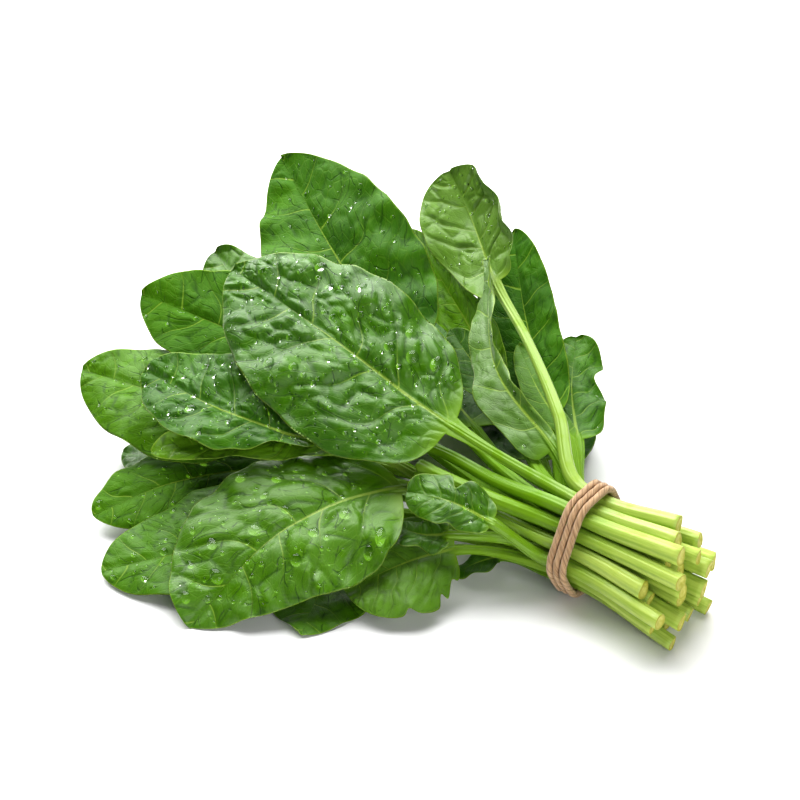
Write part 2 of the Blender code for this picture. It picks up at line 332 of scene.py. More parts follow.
def stem_section(radius, q, c, face, s, opened, seed):
    """How far a stem stands up or down from its axis at each point, and the angle round it."""
    inner = np.minimum(q, radius)
    rib = np.sqrt(np.maximum(radius**2 - inner**2, 0))
    around = np.arctan2(face * rib, np.sign(c) * inner)
    channel = 0.33 * np.exp(-((around - pi / 2) / 0.55) ** 2) * ease(s, 12, 60) * (1 - opened)
    ridges = 0.045 * np.cos(9 * around + seed) * (1 - opened) * ease(s, 0, 4)
    return rib * (1 - channel + ridges), around


# %% [markdown]
# ## How a blade bends
#
# A blade is stiff along its rib and soft towards its margins, so it bends away from the rib, and
# a leaf that lies on its side rolls its margin over. Lifting the edge by a formula would stretch
# the sheet. Here each section is walked outwards from the rib in small steps of true length, each
# step turned a little further, as paper is rolled. On top of that the sheet puckers, and its margin
# waves, because the edge of a blade grows longer than its middle.

# %% Walking out from the rib
def walk_outwards(q, turned, c):
    """Where a section's points come to when q is walked outwards from the rib along a turning way."""
    out = np.zeros(turned.shape)
    off = np.zeros(turned.shape)
    for way in (c[0] <= 0, c[0] >= 0):
        for face in (np.arange(c.size) < c.size // 2, np.arange(c.size) >= c.size // 2):
            line = np.flatnonzero(way & face)
            line = line[np.argsort(np.abs(c[0][line]))]
            if abs(c[0][line[0]]) > 1e-9:
                line = np.concatenate([np.flatnonzero(np.abs(c[0]) < 1e-9)[:1], line])
            run = np.diff(q[:, line], axis=1)
            angle = (turned[:, line][:, 1:] + turned[:, line][:, :-1]) / 2
            out[:, line[1:]] = np.cumsum(run * np.cos(angle), axis=1)
            off[:, line[1:]] = np.cumsum(run * np.sin(angle), axis=1)
    return out, off


# %% Swelling and resting
def swelling(high, pucker, y, q, c, side, opened, seed):
    """How far the sheet stands out: puckers, a slow swell, and short waves near the margin."""
    swell = opened * pucker * (high - 0.4) * (1 - np.abs(c) ** 8)
    swell = swell + opened * 0.9 * pucker * wander(y, np.sign(c) * q, 34, seed + 3) * np.abs(c) ** 0.5
    return swell + opened * 1.2 * np.abs(c) ** 3 * wander(y + 60 * side, 0 * q, 17, seed + 4)


SOFT_LANDING = 1.2


def rest_on_floor(points):
    """Eases up all that would come near the floor or sink into it, so that it lies just on it."""
    above = points[..., 2] - FLOOR_Z
    eased = 0.2 + np.exp(np.minimum(above, SOFT_LANDING) - SOFT_LANDING)
    points[..., 2] = FLOOR_Z + np.where(above < SOFT_LANDING, eased, above)


# %% [markdown]
# ## The whole skin
#
# The numbers that set one leaf apart: `slot` is its place in the tie and `cut` how far its end
# stands out; `via` and `blade` are points that its stem and its midrib pass; `half` is the half
# width on its two sides, with side 0 towards -Y, and `base`, `tip` and `lobe` shape the outline. It
# leans by `roll` in degrees from base to tip, and it bends by `fold` at the rib, by `curl` towards
# each margin and by `rim` at the margin itself. `ruffle` is the height, number and phase of its
# waves. `bites` are notches: side, middle, size and depth. `wing` is the narrow skirt where the
# blade runs down the stem. `pucker` is the height of its puckers and `patch` the size of one.
# For the finish, `tone` and `gloss` run from base to tip, `matte` makes it dull and pale as its
# underside is, and `deep` paints shade over a leaf that lies inside the pile.

# %% Leaf
GIRTH_SPREAD = 0.13     # one stem is this much thicker or thinner than another
OPENING = 0.14          # the share of its length over which a blade opens out of its stem
SKIRT_FADE = 14
CUT_SLANT = 0.3
VEINS_BELOW = 0.45      # veins stand out this far on the underside
leaves = {}


def leaf(name, slot, blade, half, roll=(0, 0), curl=(-0.5, -0.5), fold=0.15, ruffle=(1.5, 2, 0),
         lobe=0.2, cut=0, via=(), bites=(), pucker=1.2, patch=9, tone=(0, 0), rim=(0, 0),
         wing=1.0, base=0.43, tip=0.6, gloss=(1, 1), matte=0, deep=0, grid=MEDIUM):
    seed = sum(map(ord, name))
    held = held_points(slot, cut)
    curve, arc, out, up = frame_along(held + list(via) + list(blade))
    arc_tie, arc_base = arc[STEPS], arc[STEPS * (len(held) + len(via))]
    length = arc[-1] - arc_base
    s, shrink, sawn = rows_along(grid, arc_base, length)
    face, c = columns_round(grid)
    side = np.where(c < 0, 0, 1)

    v = np.clip((s - arc_base) / length, 0, 1)
    girth = 1 + GIRTH_SPREAD * cos(seed)
    radius = np.interp(s, [0, arc_tie, arc_base, arc[-1]],
                       [STEM_RADIUS_CUT * girth, STEM_RADIUS_TIE, STEM_RADIUS_BLADE, RIB_RADIUS_TIP])
    radius = radius * (1 - ease(v, 0.97, 1))
    widest = np.array(half)[side]
    outline = outline_of(v, side, base, tip, bites)
    growth = 1 + 0.025 * wander(v * length, 40 * side + 0 * v, 24, seed + 5)
    skirt = wing * np.exp(-np.maximum(arc_base - s, 0) / SKIRT_FADE) * (s > 1)
    width = np.maximum(radius + skirt, widest * outline * growth)
    opened = np.clip(v / OPENING, 0, 1) ** 0.7
    thin = np.maximum(opened, np.clip(skirt, 0, 1))
    q = radius * np.sin(pi / 2 * np.abs(c)) + (width - radius) * np.abs(c) ** 1.2

    rolled = np.array(rim)[side] * ease(np.abs(c), 0.45, 1) * np.sin(pi * v) ** 0.5
    turned = opened * (fold + np.array(curl)[side] * q / widest + rolled)
    y = v * length
    count = vein_count(y, np.sign(c) * q, length, widest, seed)
    pitch = length / SIDE_VEINS
    high, painted_shade = puckers(count, y, np.sign(c) * q, pitch, patch, seed)
    swell = swelling(high, pucker, y, q, c, side, opened, seed)

    rib, around = stem_section(radius, q, c, face, s, opened, seed)
    sheet = BLADE_THICKNESS / 2 * thin * (1 - c**6)
    near = np.abs(count - np.rint(count)) * pitch
    veins = VEINS_BELOW * np.exp(-(near / 0.8) ** 2) * opened * (1 - 0.7 * np.abs(c))
    thick = face * np.maximum(sheet + np.where(face < 0, veins, 0),
                              np.where(face > 0, rib * (1 - 0.9 * opened), rib))
    thick = (thick + swell) * shrink
    along_sheet, off_sheet = walk_outwards(q, turned, c)
    across = np.sign(c) * (along_sheet * shrink - thick * np.sin(turned))
    lift = off_sheet + thick * np.cos(turned)
    height, waves, phase = ruffle
    lift = lift + height * opened * c**2 * np.sin(2 * pi * waves * v + phase + 2 * (c > 0))

    lean = np.radians(np.interp(s, [0.6 * arc_base, arc_base, arc[-1]], [0, *roll]))[..., None]
    s_at = s - np.broadcast_to(lobe, 2)[side] * widest * c**2 * (1 - v) ** 3 * (1 - np.exp(-v / 0.05))
    slant = CUT_SLANT * cos(seed) * np.cos(around - seed) * radius
    s_at = np.maximum(s_at + (s < FIRST_RING) * shrink * slant, 0)
    side_way, up_way = read_at(s_at, arc, out), read_at(s_at, arc, up)
    normal = up_way * np.cos(lean) + side_way * np.sin(lean)
    side_way = side_way * np.cos(lean) - up_way * np.sin(lean)
    points = read_at(s_at, arc, curve) + side_way * across[..., None] + normal * lift[..., None]
    points[-1] = points[-1].mean(0)
    rest_on_floor(points)

    marks = {
        "blade": opened,
        "margin": (1 - np.abs(c)) * width,
        "under": np.where(face < 0, 1 - np.abs(c) ** 20, matte),
        "cut": sawn,
        "cut_rim": shrink,
        "tone": tone[0] + (tone[1] - tone[0]) * v + np.clip(rolled, 0, 1) * opened,
        "gloss": gloss[0] + (gloss[1] - gloss[0]) * v,
        # painted shade: dark in the creases between puckers, and by `deep` over a leaf inside the pile
        "painted_shade": np.clip(painted_shade * opened * (face > 0) + deep, 0, 1),
        "vein_count": count,
        "off_rib": q,
        "rib": q / np.maximum(radius, 0.1) + 0.75 * v**2,
        "grain": beside(s, radius * np.cos(around), radius * np.sin(around)),
    }
    piece = roll_up(name + "_skin", points, marks)
    leaves[name] = {"piece": piece, "points": points, "face": face[0], "blade": opened[:, 0]}
    print(name, len(piece.data.polygons), "faces,", round(arc[-1]), "mm long")


# %% [markdown]
# ## The leaves of the bunch
#
# Each leaf is one call: its place in the tie, three points along its midrib, the half widths on
# its two sides, and how it leans and curls. The solids pass the same points with the same widths,
# so every skin lies where its solid is. Leaves on top are listed before the ones under them.

# %% Leaves of the fuller side
leaf("centre_leaf", (0, 1), [(-69, -8, 34), (-130, -14, 58), (-198, -8, 68)], (45, 39),
     roll=(-20, -28), curl=(-0.5, -0.3), lobe=(0.15, -0.1), cut=-5, pucker=2.5, patch=11, wing=3,
     tone=(0.15, 0.05), base=0.45, tip=0.64, grid=BIG)
leaf("top_leaf", (1, 1), [(-121, 22, 35), (-180, 44, 60), (-240, 76, 78)], (35, 39),
     roll=(-20, -40), curl=(0.1, -0.3), cut=-6, pucker=1.4, patch=13, tone=(0, 0.1), tip=0.72,
     base=0.48, gloss=(0.35, 0), grid=BIG)
leaf("pale_leaf", (1, 3), [(-32, 20, 22), (-70, 32, 36), (-120, 89, 56)], (15, 5),
     roll=(-40, -60), curl=(0.3, 0.3), lobe=(0.5, 0.1), cut=-2, pucker=1.0, wing=2, tone=(-0.2, -0.3),
     bites=[(0, 0.45, 0.06, 0.2), (0, 0.68, 0.05, 0.15)], ruffle=(1.5, 3, 1), base=0.3, tip=0.75,
     matte=0.6)
# twisted_leaf's high matte and tone pale its blade: partly its own lighter green, partly a painted
# whitish sheen
leaf("twisted_leaf", (0, 2), [(-112, 85, 48), (-143, 106, 64), (-162, 114, 80)], (25, 23),
     roll=(-30, -42), curl=(0.1, 0.3), lobe=(0.9, 0.2), cut=-10, via=[(-39, 33, 30), (-78, 63, 40)],
     pucker=1.9, patch=12, tone=(0.95, 0.9), rim=(-0.2, 1.0), base=(0.8, 0.5), tip=0.42,
     matte=0.75, grid=BIG)
leaf("narrow_leaf", (2, 3), [(-88, 57, 14), (-135, 83, 29), (-177, 102, 46)], (14, 17),
     roll=(-50, -60), curl=(0.4, 0.4), cut=6, tone=(1, 1), rim=(0.9, 0), gloss=(0.4, 0.3))
leaf("left_leaf", (0, 0), [(-117, -45, 26), (-157, -59, 32), (-213, -56, 30)], (24, 30),
     roll=(-15, -25), curl=(-0.2, -0.3), cut=2, via=[(-40, -11, 18), (-79, -14, 22)],
     bites=[(0, 0.08, 0.3, 0.62)], pucker=1.9, tone=(0, 0), gloss=(0.6, 0.4), grid=BIG)
leaf("front_leaf", (2, 0), [(-76, -35, 12), (-104, -80, 5), (-118, -132, -25)], (38, 41),
     roll=(-15, -20), curl=(-0.6, -0.6), lobe=(0.25, 0), cut=-9, pucker=1.7, patch=16,
     tone=(0.45, 0.3), base=(0.5, 0.7), tip=(0.85, 0.62), grid=BIG)
leaf("upper_left_leaf", (2, 1), [(-140, 0, 20), (-200, -8, 32), (-253, -16, 37)], (30, 34),
     roll=(-20, -30), curl=(-0.3, -0.2), cut=5, pucker=1.2, patch=13, tone=(-0.25, 0.25),
     gloss=(0.15, 0), grid=BIG)
leaf("small_upper_leaf", (2, 2), [(-170, 14, 18), (-213, 18, 32), (-247, 31, 41)], (22, 20),
     roll=(-10, -20), cut=-3, tone=(0.2, 0.3), tip=0.45)
leaf("edge_leaf", (1, 2), [(-75, 37, 21), (-99, 49, 26), (-122, 62, 29)], (11, 11),
     roll=(-10, -30), cut=3, tone=(0.1, 0.1), gloss=(0.2, 0.3), deep=0.6, grid=SMALL)
leaf("rolled_leaf", (3, 2), [(-106, -30, 18), (-145, -58, 22), (-181, -86, 14)], (12, 15),
     roll=(-10, -20), curl=(-0.3, 0.3), cut=2, via=[(-52, -14, 1)], tone=(1, 1), rim=(0, 2.4),
     gloss=(0.5, 0.9), matte=0.2)
leaf("far_left_leaf", (3, 3), [(-165, -34, 6), (-212, -50, 14), (-252, -60, 16)], (32, 28),
     roll=(-15, -25), cut=7, pucker=1.1, tone=(0.4, 0.5), gloss=(0.3, 0.4))
leaf("two_lobed_leaf", (3, 0), [(-29, -32, 14), (-46, -36, 19), (-69, -40, 17)], (12, 13),
     roll=(-30, -30), cut=3, tone=(0.2, 0.2), tip=0.4,
     bites=[(1, 0.5, 0.06, 0.5), (0, 0.42, 0.08, 0.2)])
leaf("arrow_leaf", (3, 1), [(-47, -41, 4), (-56, -45, 2), (-71, -45, 0)], (10, 8),
     roll=(-20, -20), cut=-8, tone=(0.2, 0.2), lobe=0.6,
     bites=[(0, 0.45, 0.1, 0.4), (1, 0.45, 0.1, 0.4)], grid=SMALL)
leaf("low_left_leaf", (4, 2), [(-150, -40, -8), (-181, -76, -10), (-199, -109, -17)], (24, 24),
     roll=(-10, -15), cut=-6, pucker=0.9, tone=(0.3, 0.3), gloss=(0.1, 0.1))
leaf("low_front_leaf", (4, 1), [(-112, -56, -6), (-140, -100, -12), (-172, -131, -22)], (27, 35),
     roll=(-10, -15), cut=6, pucker=0.9, tone=(0.2, 0.3), gloss=(0.25, 0.35))
leaf("ragged_leaf", (4, 0), [(-46, -35, -8), (-62, -60, -10), (-72, -80, -16)], (27, 24),
     roll=(-20, -10), cut=-2, tone=(0.4, 0.5), tip=0.45, gloss=(0.4, 0.5), matte=0.35,
     bites=[(0, 0.16, 0.05, 0.25), (0, 0.3, 0.035, 0.2), (0, 0.62, 0.05, 0.12)])
leaf("bottom_leaf", (5, 1), [(-83, -38, -20), (-88, -72, -23), (-76, -106, -24)], (30, 33),
     curl=(-0.1, -0.1), fold=0, cut=-3, pucker=0.6, tip=0.75, gloss=(0.5, 0.5), tone=(0.3, 0.3))
leaf("faint_leaf", (5, 2), [(-185, -44, -16), (-207, -56, -18), (-228, -61, -22)], (16, 16),
     cut=2, tone=(0.1, 0.1), grid=SMALL)
leaf("scrap_leaf", (5, 0), [(-35, -16, -19), (-42, -26, -20), (-48, -34, -24)], (7, 7), cut=5,
     pucker=0.3, grid=SMALL)

# %% Leaves of the far side
leaf("ragged_back_leaf", (2, 4), [(-37, 41, 13), (-61, 52, 21), (-93, 78, 23)], (8, 8), cut=-12,
     pucker=0.4, tone=(0.2, 0.2), gloss=(0.2, 0.2), matte=0.3, grid=SMALL)
leaf("behind_leaf", (3, 4), [(-58, 58, 8), (-100, 95, 26), (-134, 130, 48)], (28, 16),
     roll=(-20, -30), cut=-4, tone=(-0.6, -0.1), tip=0.42, gloss=(0, 0), deep=0.3)
leaf("curly_leaf", (3, 5), [(-42, 56, 2), (-62, 80, 8), (-80, 110, 16)], (17, 17),
     ruffle=(3, 3, 0), cut=1, pucker=0.8, tone=(0, 0.1), tip=0.4, gloss=(0.3, 0.3),
     bites=[(1, 0.6, 0.09, 0.35), (0, 0.5, 0.06, 0.25)])
# back_leaf, low_back_leaf and under_leaf lie inside the pile, and `deep` paints shade over them
leaf("back_leaf", (4, 3), [(-90, 40, -3), (-140, 70, -4), (-190, 105, -14)], (34, 48),
     roll=(10, 10), cut=4, gloss=(0.2, 0.2), deep=0.8)
leaf("low_back_leaf", (4, 4), [(-55, 46, -10), (-80, 80, -17), (-100, 112, -25)], (28, 28),
     roll=(5, 5), cut=-8, gloss=(0.2, 0.2), deep=0.8)
leaf("under_leaf", (5, 3), [(-110, 10, -17), (-160, 20, -20), (-215, 34, -25)], (34, 34),
     curl=(-0.1, -0.1), fold=0, cut=5, pucker=0.6, gloss=(0.3, 0.3), deep=0.8)

# %% [markdown]
# ## The broken stem
#
# One stem has lost its blade. A spinach stem is juicy but hollow near its top, so where it broke
# its wall stands open as a flared tube with an uneven lip. The rings run up the outside, over
# the lip and back down the inside.

# %% Broken stem
HOLLOW_RINGS = 10
HOLLOW_DEPTH = 7
RADIUS_BROKEN = 3.3
LIP = 6                 # the lip is uneven over this length
FAR = 9                 # a mark that says "not near a vein or a margin"


def broken_stem(name, slot, beyond, cut):
    curve, arc, out, up = frame_along([*held_points(slot, cut), *beyond])
    end = arc[-1]
    outside = np.linspace(1, end, 90)
    inside = end - np.linspace(0.3, HOLLOW_DEPTH, HOLLOW_RINGS)
    s = np.concatenate([[depth for _, depth in CAP_RINGS], outside, inside])[:, None]
    flare = 1 + 0.3 * ease(outside, end - 9, end)
    wall = np.interp(outside, [0, CUT_END_X, end], [STEM_RADIUS_CUT, STEM_RADIUS_TIE, RADIUS_BROKEN])
    wall = wall * flare
    hollow = np.linspace(0.84, 0.45, HOLLOW_RINGS) * wall[-1]
    hollow[-1] = 0
    cap = np.array([share for share, _ in CAP_RINGS]) * STEM_RADIUS_CUT
    radius = np.concatenate([cap, wall, hollow])[:, None]
    turn = np.linspace(0, 2 * pi, 48, endpoint=False)[None]
    lip = ease(s, end - LIP, end)
    ridged = radius * (1 + 0.035 * np.cos(9 * turn) - 0.15 * np.exp(-((turn - pi / 2) / 0.4) ** 2))
    ridged = ridged * (1 + 0.12 * lip * np.cos(2 * turn + 1) + 0.05 * lip * np.cos(5 * turn))
    s = s + lip * (0.9 * np.cos(3 * turn + 0.5) + 0.6 * np.cos(7 * turn + 2))
    points = read_at(s, arc, curve)
    points = points + (read_at(s, arc, out) * (ridged * np.cos(turn))[..., None]
                       + read_at(s, arc, up) * (ridged * np.sin(turn))[..., None])
    order = np.arange(len(s))[:, None]
    sawn = order < len(CAP_RINGS) - 1
    inner = order >= len(s) - HOLLOW_RINGS
    marks = {
        "blade": 0,
        "margin": FAR,
        "under": 0,
        "cut": np.maximum(sawn, 0.6 * inner),
        "cut_rim": np.where(sawn, radius / STEM_RADIUS_CUT, 0.5),
        "tone": 0.2,
        "gloss": 0.7,
        "painted_shade": 0,
        "vein_count": 0.5,
        "off_rib": FAR,
        "rib": FAR,
        "grain": beside(s, radius * np.cos(turn), radius * np.sin(turn)),
    }
    print(name, "broken", round(end), "mm from its cut end")
    return roll_up(name + "_skin", points, marks)


stub = broken_stem("broken_stem", (1, 0), [(-41, -20, 15), (-74, -26, 20)], 6)

# %% [markdown]
# ## The twine
#
# Three turns of thin jute cord hold the bunch. A cord is two or more yarns twisted together, and
# the grooves between them wind round it. A curve with a round bevel would look like wire, so the
# cord is rolled up from rings as the stems are, with the yarns' bulges winding along it.

# %% Twine
TWINE_STEPS = 150       # points on one turn
CORD_RINGS = 900
CORD_SIDES = 24
CORD_EVENING = 12       # passes that ease the cord round the outer stems
YARNS = 3
YARN_TWIST = 13.0       # length of one full twist of the yarns
ROUNDING = 0.3          # 0 is tight round the outer stems and 1 is a circle


def twine(name):
    stems = [slot_place(row, k) for row, count in enumerate(ROW_COUNTS) for k in range(count)]
    off = STEM_RADIUS_TIE + TWINE_CLEARANCE + TWINE_DIAMETER / 2
    turns = np.arange(round(TWINE_TURNS * TWINE_STEPS) + 1) / TWINE_STEPS
    angle = 2 * pi * turns - radians(70)
    y, z = np.cos(angle), np.sin(angle)
    outer = np.array([max(stems, key=lambda stem: stem[0] * a + stem[1] * b) for a, b in zip(y, z)])
    x = (turns - TWINE_TURNS / 2) * (TWINE_DIAMETER + GAP)
    hull = outer + off * np.stack([y, z], -1)
    around = np.linalg.norm(hull, axis=1).mean() * np.stack([y, z], -1)
    path = np.column_stack([x, hull + ROUNDING * (around - hull)])
    keep = np.concatenate([[True], np.linalg.norm(np.diff(path, axis=0), axis=1) > 0.05])
    path = path[keep]
    for _ in range(CORD_EVENING):
        path[1:-1] = (path[:-2] + 2 * path[1:-1] + path[2:]) / 4
    arc = np.concatenate([[0], np.cumsum(np.linalg.norm(np.diff(path, axis=0), axis=1))])
    s = np.linspace(0, arc[-1], CORD_RINGS)
    path = read_at(s, arc, path)
    tangent = unit(np.gradient(path, axis=0))
    along = unit(np.array([1, 0, 0]) - tangent[:, :1] * tangent)
    outward = np.cross(along, tangent)
    turn = np.linspace(0, 2 * pi, CORD_SIDES, endpoint=False)[None]
    s = s[:, None]
    lobe = np.abs(np.cos(YARNS / 2 * (turn - 2 * pi * s / YARN_TWIST)))
    radius = TWINE_DIAMETER / 2 * (0.96 + 0.05 * lobe**0.7)
    radius = radius * (1 + 0.05 * wander(s, 6 * turn, 9, 3) + 0.02 * wander(s, 5 * turn, 2.5, 4))
    closing = np.clip(np.minimum(s, arc[-1] - s) / 0.8, 0, 1)
    radius = radius * np.sqrt(closing)
    points = path[:, None] + (along[:, None] * (radius * np.cos(turn))[..., None]
                              + outward[:, None] * (radius * np.sin(turn))[..., None])
    marks = {
        # groove: where the material paints shade between the yarns
        "groove": 1 - ease(lobe, 0.05, 0.5),
        "grain": beside(s, turn - 2 * pi * s / YARN_TWIST, 0),
    }
    print("twine", round(arc[-1]), "mm of cord in", TWINE_TURNS, "turns")
    return roll_up(name + "_cord", points, marks)


cord = twine("twine_tie")

# %% [markdown]
# ## Drops of water
#
# Water on a waxy leaf stands in low domes, a few large ones among many small. One dome is
# modelled: a ball cut in half with its lower rim drawn in. It is then copied to places strewn
# over a blade, each copy turned to the skin there and stretched a little its own way. The drops
# of one leaf are joined, because nobody handles them one by one.

# %% One dome
def dome(segments, rings):
    """The points and faces of a low closed dome with a radius of 1 round its origin."""
    bpy.ops.object.select_all(action="DESELECT")
    bpy.ops.mesh.primitive_uv_sphere_add(segments=segments, ring_count=rings, radius=1)
    ball = bpy.context.active_object
    bpy.ops.object.mode_set(mode="EDIT")
    bpy.ops.mesh.select_all(action="SELECT")
    bpy.ops.mesh.bisect(plane_co=(0, 0, -0.2), plane_no=(0, 0, 1), use_fill=True, clear_inner=True)
    bpy.ops.mesh.select_all(action="SELECT")
    bpy.ops.transform.resize(value=(1, 1, 0.62), center_override=(0, 0, 0))
    bpy.ops.object.mode_set(mode="OBJECT")
    points = np.array([vertex.co for vertex in ball.data.vertices])
    faces = [tuple(polygon.vertices) for polygon in ball.data.polygons]
    bpy.data.objects.remove(ball)
    return points, faces


small_dome = dome(8, 6)
large_dome = dome(14, 10)
print("a small drop has", len(small_dome[1]), "faces and a large one", len(large_dome[1]))

# %% Places on a blade
# the painted shade and painted glow of the drops are laid out from this way
LAMP_WAY = (-0.77, 0.63)    # where the large light is, seen from above
BIG_DROP = (1.7, 3.3)       # least and most radius
SMALL_DROP = (0.55, 0.9)    # least radius, and how much more it can be
CROWDING = 1.3


def between_rows(values, row, column):
    """The values of a grid read between its rows and columns, kept inside the grid."""
    row = np.clip(row, 0, values.shape[0] - 1.001)
    column = np.clip(column, 0, values.shape[1] - 1.001)
    i, j = row.astype(int), column.astype(int)
    u, w = (row - i)[:, None], (column - j)[:, None]
    upper = values[i, j] * (1 - w) + values[i, j + 1] * w
    lower = values[i + 1, j] * (1 - w) + values[i + 1, j + 1] * w
    return upper * (1 - u) + lower * u


def upper_face(skin, spread):
    """The points on a blade's face, which way is out there, each point's share, and the steps."""
    rows = np.flatnonzero(skin["blade"] > 0.5)
    rows = rows[int(spread[0] * len(rows)):int(spread[1] * len(rows))]
    columns = np.flatnonzero(skin["face"] > 0)[3:-3]
    patch = skin["points"][rows][:, columns]
    down, over = np.gradient(patch, axis=0), np.gradient(patch, axis=1)
    normal = np.cross(over, down)
    area = np.linalg.norm(normal, axis=-1)
    normal = normal / np.maximum(area, 1e-9)[..., None]
    normal = normal * np.sign(normal[..., 2].mean())
    steps = [np.linalg.norm(way, axis=-1) for way in (down, over)]
    return patch, normal, (area / area.sum()).ravel(), steps


# %% Strew the drops
wet = []


def drops(name, points, faces, far_side):
    """Domes in one piece, marked for painted shade towards the lamp and a painted glow away from it.
    """
    mesh = bpy.data.meshes.new(name)
    mesh.from_pydata((np.vstack(points) * MM + TIE).tolist(), [], faces)
    lit = mesh.attributes.new("far_side", "FLOAT", "POINT")
    lit.data.foreach_set("value", np.concatenate(far_side))
    piece = bpy.data.objects.new(name, mesh)
    bpy.context.scene.collection.objects.link(piece)
    bpy.ops.object.select_all(action="DESELECT")
    bpy.context.view_layer.objects.active = piece
    bpy.ops.object.mode_set(mode="EDIT")
    bpy.ops.mesh.select_all(action="SELECT")
    bpy.ops.mesh.normals_make_consistent(inside=False)
    bpy.ops.object.mode_set(mode="OBJECT")
    mesh.shade_smooth()
    piece.visible_shadow = piece.visible_diffuse = piece.visible_glossy = False
    return piece


def strew(leaf_name, count, big=0, spread=(0.05, 0.95), seed=1):
    """Drops on the upper face of a blade: many small ones, and this many big ones."""
    rng = np.random.default_rng(seed)
    patch, normal, chance, (row_step, column_step) = upper_face(leaves[leaf_name], spread)
    places = rng.choice(len(chance), 2 * (count + big), replace=False, p=chance)
    points, faces, total, taken, far_side = [], [], 0, [], []
    for place in places:
        row, column = divmod(place, patch.shape[1])
        size = (rng.uniform(*BIG_DROP) if len(taken) < big
                else SMALL_DROP[0] + SMALL_DROP[1] * rng.random() ** 2.2)
        middle = patch[row, column]
        crowded = any(np.linalg.norm(middle - other) < CROWDING * (size + wide)
                      for other, wide in taken)
        if crowded or len(taken) == count + big:
            continue
        taken.append((middle, size))
        shape, sides = large_dome if size > 1.0 else small_dome
        turn = rng.uniform(0, pi)
        long = shape * np.array([rng.uniform(0.9, 1.4), 1, rng.uniform(0.75, 1.1)]) * size
        x = long[:, 0] * cos(turn) - long[:, 1] * sin(turn)
        y = long[:, 0] * sin(turn) + long[:, 1] * cos(turn)
        far_side.append(-(x * LAMP_WAY[0] + y * LAMP_WAY[1]) / size)
        at = (row + x / row_step[row, column], column + y / column_step[row, column])
        points.append(between_rows(patch, *at) + between_rows(normal, *at) * long[:, 2:])
        faces += [tuple(total + i for i in side) for side in sides]
        total += len(shape)
    wet.append(drops("drops_on_" + leaf_name, points, faces, far_side))
    print(wet[-1].name, len(taken), "drops")


strew("centre_leaf", 380, 9, seed=2)
strew("top_leaf", 90, 0, seed=3)
strew("front_leaf", 110, 16, seed=4)
strew("left_leaf", 150, 2, seed=21)
strew("upper_left_leaf", 40, 0, seed=6)
strew("far_left_leaf", 50, 0, seed=7)
strew("low_left_leaf", 40, 2, seed=8)
strew("low_front_leaf", 60, 5, seed=9)
strew("twisted_leaf", 60, 0, seed=10)
strew("pale_leaf", 16, 0, seed=11)
strew("two_lobed_leaf", 16, 1, seed=12)
strew("rolled_leaf", 20, 0, seed=13)
strew("back_leaf", 60, 2, seed=14)
strew("curly_leaf", 8, 0, (0.1, 0.7), seed=15)

# %% [markdown]
# ## Building node trees
#
# Materials are trees of small nodes. Clicking them together by hand is slow to repeat, so a few
# helpers do it: `node` adds one node and connects or fills its inputs, `group` makes an empty group
# with named inputs and outputs, and `use` places a group in a material. The smaller helpers each
# add one kind of node that comes up all the time.

# %% Nodes and groups
def node(tree, kind, inputs=None, **settings):
    """Adds a node; an input is a number, a colour or another node's output."""
    made = tree.nodes.new(kind)
    for name, value in settings.items():
        setattr(made, name, value)
    for name, value in (inputs or {}).items():
        if isinstance(value, bpy.types.NodeSocket):
            tree.links.new(value, made.inputs[name])
        else:
            made.inputs[name].default_value = value
    return made


def group(name, inputs, outputs):
    """An empty node group, with the sockets inside it that give its inputs and take its outputs."""
    tree = bpy.data.node_groups.new(name, "ShaderNodeTree")
    for way, sockets in (("INPUT", inputs), ("OUTPUT", outputs)):
        for socket, kind in sockets:
            tree.interface.new_socket(name=socket, in_out=way, socket_type="NodeSocket" + kind)
    return tree, tree.nodes.new("NodeGroupInput").outputs, tree.nodes.new("NodeGroupOutput").inputs


def use(tree, shared, inputs):
    """Places a group in a tree and gives its outputs."""
    return node(tree, "ShaderNodeGroup", inputs, node_tree=shared).outputs


def material(name):
    """A new material with an empty tree."""
    made = bpy.data.materials.new(name)
    made.use_nodes = True
    made.node_tree.nodes.clear()
    return made, made.node_tree


# %% Small helpers for nodes
def math(tree, operation, *values, clamp=False):
    return node(tree, "ShaderNodeMath", dict(enumerate(values)), operation=operation,
                use_clamp=clamp).outputs[0]


def blend(tree, share, first, second):
    return node(tree, "ShaderNodeMix", {0: share, 6: first, 7: second}, data_type="RGBA").outputs[2]


def tint(tree, colour, share, strength, paint):
    """The colour with this strength of the paint over it where share is 1."""
    return blend(tree, math(tree, "MULTIPLY", share, strength), colour, paint)


def step(tree, value, low, high):
    """0 at low, 1 at high and smooth between; low may be the larger of the two."""
    return node(tree, "ShaderNodeMapRange", {0: value, 1: low, 2: high},
                interpolation_type="SMOOTHSTEP", clamp=True).outputs[0]


def fall(tree, value, low, high):
    """1 at low, 0 at high and smooth between."""
    return math(tree, "SUBTRACT", 1.0, step(tree, value, low, high))


def mark(tree, name, output="Fac"):
    """What the mesh says at each point."""
    return node(tree, "ShaderNodeAttribute", attribute_name=name).outputs[output]


# %% [markdown]
# ## Shared effects
#
# *Mottle* is the slow, uneven change of colour that all grown things have: a noise whose contrast
# can be set. *Streaks* are fibres that run along a stem or a yarn. They could be painted, but a
# noise that is squeezed along one axis gives them at any length.

# %% Mottle
mottle, given, result = group(
    "Mottle", [("Size", "Float"), ("Contrast", "Float")], [("Mask", "Float")])
place = node(mottle, "ShaderNodeTexCoord").outputs["Object"]
fine = math(mottle, "DIVIDE", 1.0, given["Size"])
noise = node(mottle, "ShaderNodeTexNoise", {"Vector": place, "Scale": fine, "Detail": 3.0})
swing = math(mottle, "SUBTRACT", noise.outputs["Fac"], 0.5)
swing = math(mottle, "MULTIPLY", swing, given["Contrast"])
mottle.links.new(math(mottle, "ADD", swing, 0.5, clamp=True), result["Mask"])

